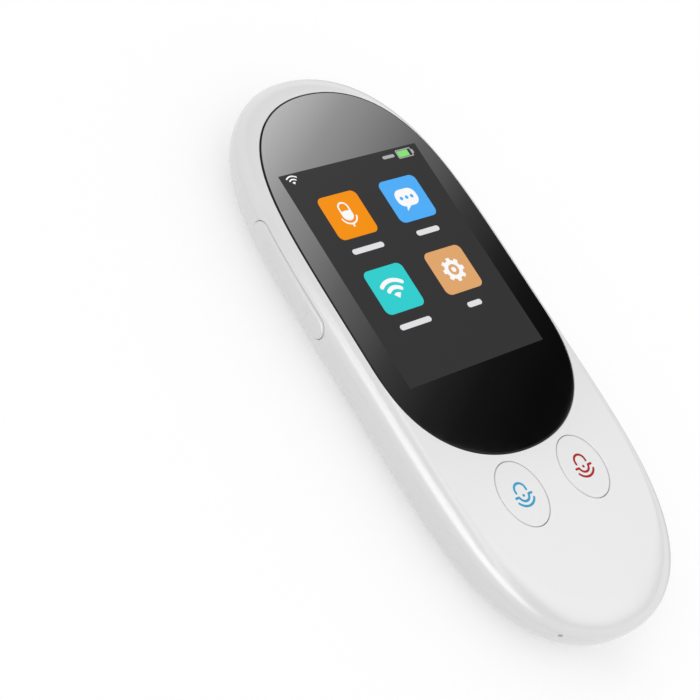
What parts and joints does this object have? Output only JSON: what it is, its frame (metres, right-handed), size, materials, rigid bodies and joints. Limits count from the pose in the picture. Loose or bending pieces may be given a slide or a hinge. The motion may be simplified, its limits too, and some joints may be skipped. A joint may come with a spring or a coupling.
{
  "type": "handheld translator",
  "caption": "Slim hand-held voice translator: rounded two-part housing with a front screen, oval talk keys, side volume and power keys, a rear speaker grille and a charging socket.",
  "frame": {"origin": "centre of the flat back face, under the middle of the body", "axes": "+X to the user's right when the screen faces the user, +Y towards the speaker end (top), +Z out of the screen"},
  "size_m": [0.0523, 0.1284, 0.0129],
  "materials": {
    "housing_front": "glossy white, injection moulded",
    "housing_back": "glossy white, injection moulded",
    "key_white": "glossy white with a softly rounded edge",
    "lens": "clear cover glass, back-printed black round the screen",
    "black_tape": "double-sided foam tape",
    "foam": "closed-cell foam",
    "lcd_glass": "liquid-crystal panel under polariser film",
    "backlight": "white moulded tray and diffuser",
    "flex": "polyimide film",
    "connector": "ivory moulding",
    "board": "green solder mask",
    "chip": "black moulding compound",
    "can": "nickel-plated sheet",
    "switch_metal": "pressed sheet",
    "silicone": "grey silicone",
    "black_plastic": "black",
    "pouch": "foil pouch",
    "lead_red": "insulated lead",
    "speaker_metal": "satin",
    "magnet": "nickel plate",
    "cone": "thin formed film",
    "cloth": "fine woven mesh",
    "contact_gold": "gold-plated spring strip",
    "usb_metal": "drawn shell",
    "screw_steel": "zinc-plated"
  },
  "bodies": {
    "housing": {"front_housing": "housing_front", "back_cover": "housing_back", "lens": "lens", "lens_tape": "black_tape", "lcd_gasket": "foam", "lcd_glass": "lcd_glass", "lcd_backlight": "backlight", "lcd_cushion": "foam", "lcd_flex": "flex", "lcd_socket": "connector", "main_board": "board", "processor": "chip", "shield_can": "can", "talk_switches": "switch_metal", "volume_switches": "switch_metal", "power_switch": "switch_metal", "reset_switch": "switch_metal", "battery_cell": "pouch", "battery_tape": "black_tape", "battery_leads": "lead_red", "battery_plug": "connector", "battery_socket": "connector", "speaker_basket": "speaker_metal", "speaker_magnet": "magnet", "speaker_cone": "cone", "speaker_gasket": "foam", "dust_cloth": "cloth", "speaker_contacts": "contact_gold", "microphone": "can", "mic_boot": "silicone", "usb_shell": "usb_metal", "usb_tongue": "black_plastic", "board_screws": "screw_steel", "aerial": "flex"},
    "left_key": {"left_key": "key_white", "left_pad": "silicone", "left_plunger": "black_plastic"},
    "right_key": {"right_key": "key_white", "right_pad": "silicone", "right_plunger": "black_plastic"},
    "volume_rocker": {"volume_rocker": "key_white"},
    "power_key": {"power_key": "key_white", "power_plunger": "black_plastic"},
    "reset_plunger": {"reset_plunger": "black_plastic"}
  },
  "joints": [
    {"name": "left_key_press", "type": "slide", "parent": "housing", "child": "left_key", "axis": [0, 0, -1], "range_m": [0, 0.00035], "stiffness_N_per_m": 1500},
    {"name": "right_key_press", "type": "slide", "parent": "housing", "child": "right_key", "axis": [0, 0, -1], "range_m": [0, 0.00035], "stiffness_N_per_m": 1500},
    {"name": "volume_rock", "type": "hinge", "parent": "housing", "child": "volume_rocker", "pos_m": [-0.02282, 0.023, 0.0079], "axis": [0, 0, 1], "range_deg": [-1.2, 1.2], "stiffness_Nm_per_rad": 0.15},
    {"name": "power_press", "type": "slide", "parent": "housing", "child": "power_key", "axis": [-1, 0, 0], "range_m": [0, 0.0003], "stiffness_N_per_m": 1500},
    {"name": "reset_press", "type": "slide", "parent": "housing", "child": "reset_plunger", "axis": [-1, 0, 0], "range_m": [0, 0.0003], "stiffness_N_per_m": 1500}
  ]
}
